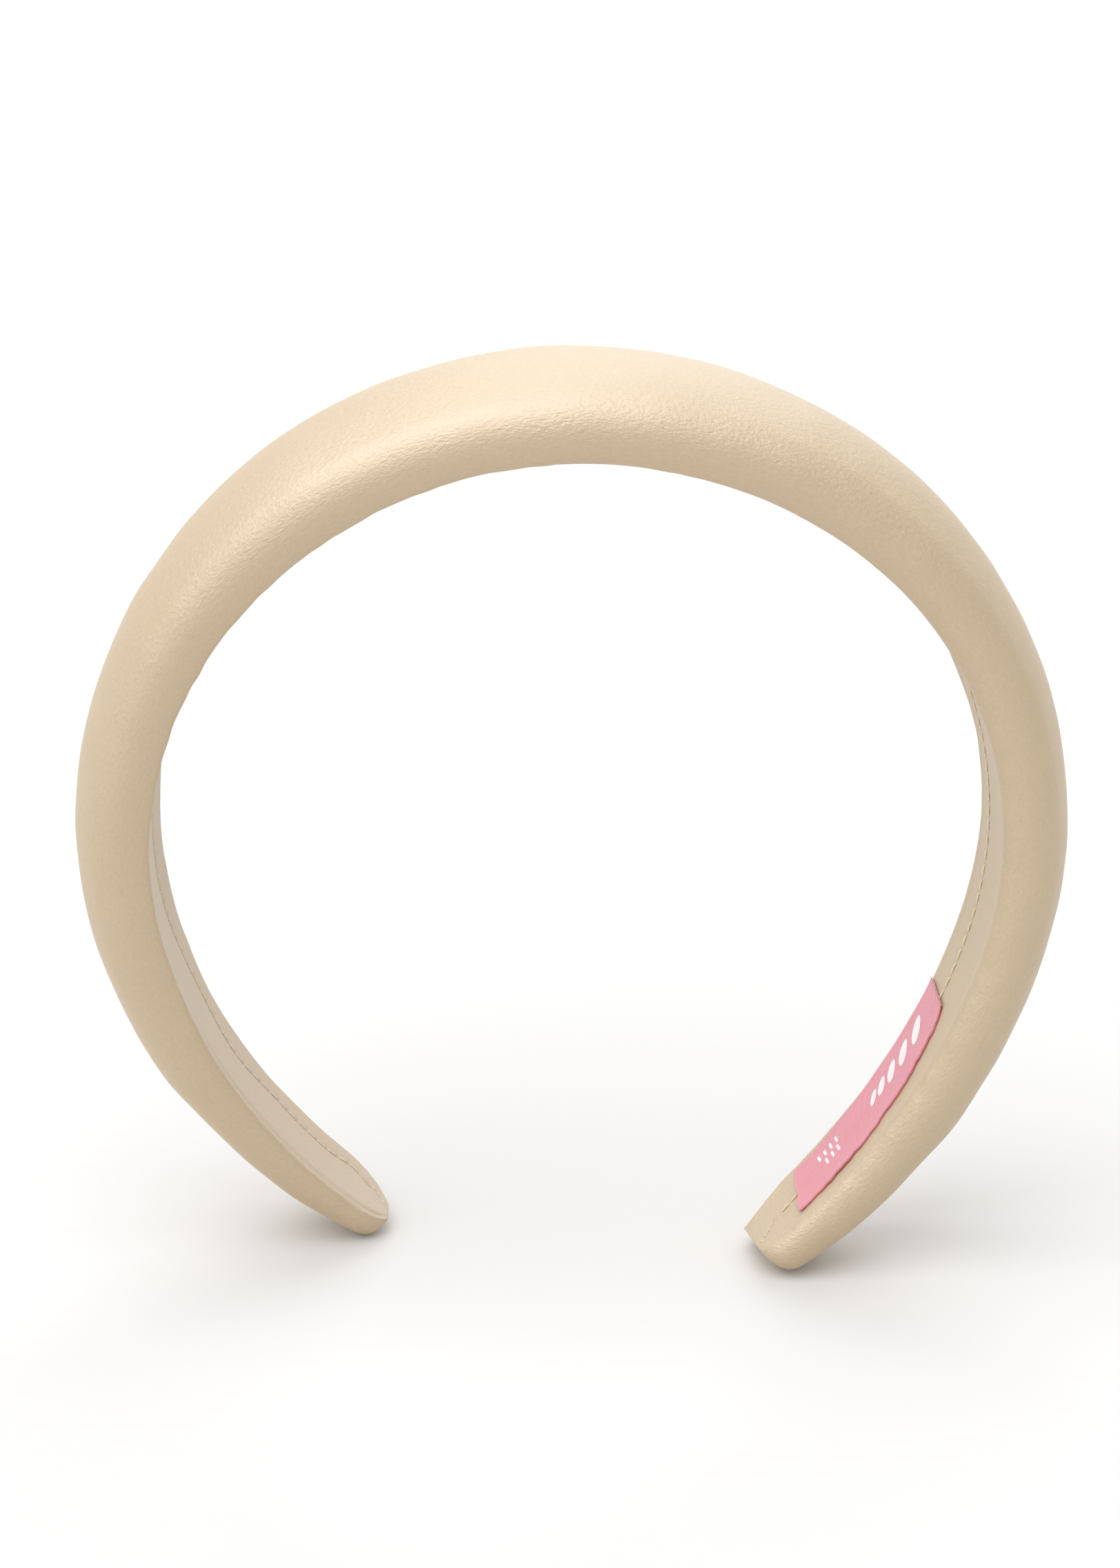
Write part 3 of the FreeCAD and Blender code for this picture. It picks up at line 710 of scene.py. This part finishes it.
def add(tree, kind, values=(), **settings):
    """A shader node with its settings, its plain values and its links by socket name or number."""
    made = tree.nodes.new(kind)
    for name, setting in settings.items():
        setattr(made, name, setting)
    for socket, value in dict(values).items():
        if isinstance(value, bpy.types.NodeSocket):
            link(tree, value, made.inputs[socket])
        else:
            made.inputs[socket].default_value = value
    return made


def mix_colour(tree, factor, first, second):
    made = add(tree, "ShaderNodeMix", {0: factor, 6: first, 7: second}, data_type="RGBA")
    return made.outputs[2]


def calculate(tree, operation, first, second=0.0, third=0.0):
    return add(tree, "ShaderNodeMath", {0: first, 1: second, 2: third}, operation=operation).outputs[0]


def noise(tree, vector, scale, detail=2.0, rough=0.5):
    return add(tree, "ShaderNodeTexNoise",
               {"Vector": vector, "Scale": scale, "Detail": detail, "Roughness": rough}).outputs[0]


def weave_vector(tree, turn=0.0, stretch=(1.0, 1.0)):
    """The millimetre UV map, turned and stretched."""
    source = add(tree, "ShaderNodeUVMap", uv_map="weave").outputs[0]
    return add(tree, "ShaderNodeMapping", {"Vector": source, "Rotation": (0.0, 0.0, turn),
                                           "Scale": (stretch[0], stretch[1], 1.0)}).outputs[0]


def space_vector(tree):
    """Object coordinates in millimetres."""
    source = add(tree, "ShaderNodeTexCoord").outputs["Object"]
    return add(tree, "ShaderNodeMapping", {"Vector": source, "Scale": (1000.0, 1000.0, 1000.0)}).outputs[0]


def shader(name, colour, **sockets):
    """A material with a Principled shader whose plain values are set."""
    material = bpy.data.materials.new(name)
    material.use_nodes = True
    surface = material.node_tree.nodes["Principled BSDF"]
    surface.inputs["Base Color"].default_value = (*colour, 1.0)
    for socket, value in sockets.items():
        surface.inputs[socket.replace("_", " ")].default_value = value
    return material, material.node_tree, surface


def colours(first, second):
    return (*first, 1.0), (*second, 1.0)


def satin_material():
    """Champagne silk satin: diagonal grain, fine pebbling, soft mottling, duller on the inner face."""
    material, tree, surface = shader("champagne_silk", (0.52, 0.385, 0.22), Sheen_Weight=0.1,
                                     Sheen_Roughness=0.35, Specular_IOR_Level=1.0, IOR=1.8)
    plain = weave_vector(tree)
    grain = noise(tree, weave_vector(tree, 0.62, (0.8, 2.4)), 1.2, 2.0, 0.6)
    pebble = noise(tree, plain, 1.3, 3.0, 0.62)
    cloud = noise(tree, plain, 0.07, 2.0)
    inside = add(tree, "ShaderNodeAttribute", attribute_name="inside").outputs["Fac"]
    height = calculate(tree, "MULTIPLY_ADD", grain, 0.45, calculate(tree, "MULTIPLY", pebble, 0.6))
    soft = calculate(tree, "MULTIPLY_ADD", inside, -0.45, 1.0)
    height = calculate(tree, "MULTIPLY", height, soft)
    dark, light = colours((0.46, 0.328, 0.168), (0.53, 0.388, 0.212))
    face = mix_colour(tree, calculate(tree, "MULTIPLY_ADD", height, 2.4, -0.75), dark, light)
    face = mix_colour(tree, calculate(tree, "MULTIPLY", cloud, 0.35), face, (0.5, 0.365, 0.2, 1.0))
    inner_dark, inner_light = colours((0.45, 0.353, 0.235), (0.555, 0.445, 0.308))
    inner = mix_colour(tree, pebble, inner_dark, inner_light)
    tone = mix_colour(tree, calculate(tree, "MULTIPLY", inside, 0.85), face, inner)
    # painted shade: the crease attribute darkens the silk towards brown along the seam, on the left far
    # flap and in the left near crease
    crease = add(tree, "ShaderNodeAttribute", attribute_name="crease").outputs["Fac"]
    tone = mix_colour(tree, calculate(tree, "MULTIPLY", crease, 0.38), tone, (0.4, 0.25, 0.11, 1.0))
    link(tree, tone, surface.inputs["Base Color"])
    roughness = calculate(tree, "MULTIPLY_ADD", pebble, 0.14, 0.43)
    link(tree, calculate(tree, "MULTIPLY_ADD", inside, 0.16, roughness), surface.inputs["Roughness"])
    bump = add(tree, "ShaderNodeBump", {"Strength": 1.0, "Distance": 0.00026, "Height": height})
    link(tree, bump.outputs[0], surface.inputs["Normal"])
    return material


def thread_material():
    """Two-ply silk thread: slanting plies and a little unevenness."""
    material, tree, surface = shader("silk_thread", (0.82, 0.7, 0.5), Roughness=0.4, Sheen_Weight=0.3)
    vector = space_vector(tree)
    ply = add(tree, "ShaderNodeTexWave", {"Vector": vector, "Scale": 1.4, "Distortion": 1.5},
              bands_direction="DIAGONAL").outputs[1]
    dark, light = colours((0.68, 0.54, 0.35), (0.88, 0.77, 0.58))
    link(tree, mix_colour(tree, ply, dark, light), surface.inputs["Base Color"])
    bump = add(tree, "ShaderNodeBump", {"Strength": 1.0, "Distance": 0.00003, "Height": ply})
    link(tree, bump.outputs[0], surface.inputs["Normal"])
    return material


def ribbon_material():
    """Pink ribbon: fine slanting ribs crossed by finer picks."""
    material, tree, surface = shader("pink_ribbon", (0.86, 0.4, 0.48), Roughness=0.5, Sheen_Weight=0.25,
                                     Sheen_Roughness=0.4)
    ribs = add(tree, "ShaderNodeTexWave", {"Vector": weave_vector(tree, 0.2), "Scale": 0.72,
                                           "Distortion": 0.25}, bands_direction="X").outputs[1]
    picks = add(tree, "ShaderNodeTexWave", {"Vector": weave_vector(tree, 0.2), "Scale": 1.1,
                                            "Distortion": 0.4}, bands_direction="Y").outputs[1]
    fuzz = noise(tree, weave_vector(tree), 1.6, 3.0)
    height = calculate(tree, "MULTIPLY_ADD", picks, 0.35, ribs)
    dark, light = colours((0.63, 0.19, 0.25), (0.81, 0.335, 0.4))
    tone = calculate(tree, "MULTIPLY_ADD", height, 0.4, calculate(tree, "MULTIPLY", fuzz, 0.5))
    link(tree, mix_colour(tree, tone, dark, light), surface.inputs["Base Color"])
    bump = add(tree, "ShaderNodeBump", {"Strength": 0.8, "Distance": 0.00005, "Height": height})
    link(tree, bump.outputs[0], surface.inputs["Normal"])
    return material


def speckled_material(name, dark, light, scale, depth, **sockets):
    """A plain surface with fine grain in its colour, roughness and relief."""
    material, tree, surface = shader(name, light, **sockets)
    grain = noise(tree, space_vector(tree), scale, 4.0, 0.6)
    link(tree, mix_colour(tree, grain, *colours(dark, light)), surface.inputs["Base Color"])
    base = surface.inputs["Roughness"].default_value
    link(tree, calculate(tree, "MULTIPLY_ADD", grain, 0.2, base - 0.1), surface.inputs["Roughness"])
    bump = add(tree, "ShaderNodeBump", {"Strength": 1.0, "Distance": depth, "Height": grain})
    link(tree, bump.outputs[0], surface.inputs["Normal"])
    return material


# ---------------------------------------------------------------- stage, light and camera

def build_floor():
    side = FLOOR_HALF_SIDE
    corners = [(-side, -side, 0), (side, -side, 0), (side, side, 0), (-side, side, 0)]
    floor = new_object("floor", corners, [(0, 1, 2, 3)])
    floor.data.materials.append(speckled_material("pale_floor", (0.77, 0.77, 0.77), (0.79, 0.79, 0.79),
                                                  0.02, 0.00001, Roughness=0.8, Specular_IOR_Level=0.1))


def build_lights():
    """An even white surround, and suns as wide as large softboxes."""
    world = bpy.data.worlds.new("studio")
    world.use_nodes = True
    background = world.node_tree.nodes["Background"]
    background.inputs[0].default_value = (1.0, 1.0, 1.0, 1.0)
    background.inputs[1].default_value = SURROUND_LEVEL
    bpy.context.scene.world = world
    for name, (direction, spread, strength, lights_matt) in LIGHTS.items():
        data = bpy.data.lights.new(name, "SUN")
        data.angle, data.energy = math.radians(spread), strength
        lamp = bpy.data.objects.new(name, data)
        lamp.rotation_euler = Vector(direction).to_track_quat("Z", "Y").to_euler()
        lamp.visible_diffuse = lights_matt
        bpy.context.collection.objects.link(lamp)


def build_camera():
    """A view from in front, well above and slightly to the left."""
    data = bpy.data.cameras.new("camera")
    data.sensor_fit = "VERTICAL"
    data.sensor_height = SENSOR
    data.lens = FOCAL_PIXELS / PICTURE_HEIGHT * SENSOR
    data.clip_end = 50.0
    rise, swing = CAMERA_ELEVATION, CAMERA_AZIMUTH
    back = Vector((math.sin(swing) * math.cos(rise), -math.cos(swing) * math.cos(rise), math.sin(rise)))
    level = Vector((math.cos(swing), math.sin(swing), 0.0))
    upright = back.cross(level)
    right = math.cos(CAMERA_ROLL) * level + math.sin(CAMERA_ROLL) * upright
    up = back.cross(right)
    camera = bpy.data.objects.new("camera", data)
    turned = Matrix((right, up, back)).transposed().to_4x4()
    location = (Vector(CAMERA_TARGET) + CAMERA_DISTANCE * back) * MM
    camera.matrix_world = Matrix.Translation(location) @ turned
    bpy.context.collection.objects.link(camera)
    bpy.context.scene.camera = camera
    bpy.context.scene.view_settings.view_transform = "Standard"


# ---------------------------------------------------------------- assembly

def blend_at_hinge(piece, name):
    """Bakes the piece's transform into its mesh; the piece does not bend at the hinge."""
    side = LEFT if name == "left" else RIGHT
    middle = place(side * HINGE_PLACE, 0.0, BEND_LEVEL)
    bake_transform(piece)


def finish_cad_node(name, material):
    """A CAD piece that stays gets its own procedural material."""
    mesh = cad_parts[name].data
    mesh.materials.clear()
    mesh.materials.append(material)


def assemble():
    satin, thread, ribbon = satin_material(), thread_material(), ribbon_material()
    # partly painted shade: the film's dark red edge beside the label's near edge stands in for the shadow
    # line under it
    film = speckled_material("dark_red_film_and_shade", (0.42, 0.09, 0.09), (0.54, 0.14, 0.13), 3.0, 0.00002,
                             Roughness=0.5)
    ink = speckled_material("white_ink", (0.86, 0.78, 0.8), (0.93, 0.88, 0.89), 4.0, 0.00002,
                            Roughness=0.45)
    plastic = speckled_material("core_plastic", (0.8, 0.8, 0.77), (0.88, 0.88, 0.85), 1.5, 0.00002,
                                Roughness=0.4)
    tape = speckled_material("bonding_tape", (0.72, 0.7, 0.6), (0.82, 0.8, 0.7), 0.8, 0.00003,
                             Roughness=0.25)

    covers, threads = build_covers(), build_threads()
    for name in ("left", "right"):
        cover = covers[name]
        cover.data.materials.append(satin)
        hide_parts(f"foam_{name}", f"cover_{name}", f"tip_fold_{name}", "foam_crown",
                    "cover_crown")
        blend_at_hinge(cover, name)

        seam = threads[name]
        seam.data.materials.append(thread)
        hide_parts(f"seam_stitches_{name}", f"tip_tacks_{name}", "seam_stitches_crown")
        blend_at_hinge(seam, name)

    ribbon_cloth, ribbon_film_and_shade = build_label()
    ribbon_cloth.data.materials.append(ribbon)
    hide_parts("ribbon_label")
    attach(ribbon_cloth, "right_leg")
    ribbon_film_and_shade.data.materials.append(film)
    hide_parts("label_backing")
    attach(ribbon_film_and_shade, "right_leg")
    marks = build_print()
    marks.data.materials.append(ink)
    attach(marks, "right_leg")

    for name in ("crown", "left", "right"):
        finish_cad_node(f"core_{name}", plastic)
        finish_cad_node(f"tape_{name}", tape)


build_camera()
build_floor()
build_lights()
assemble()
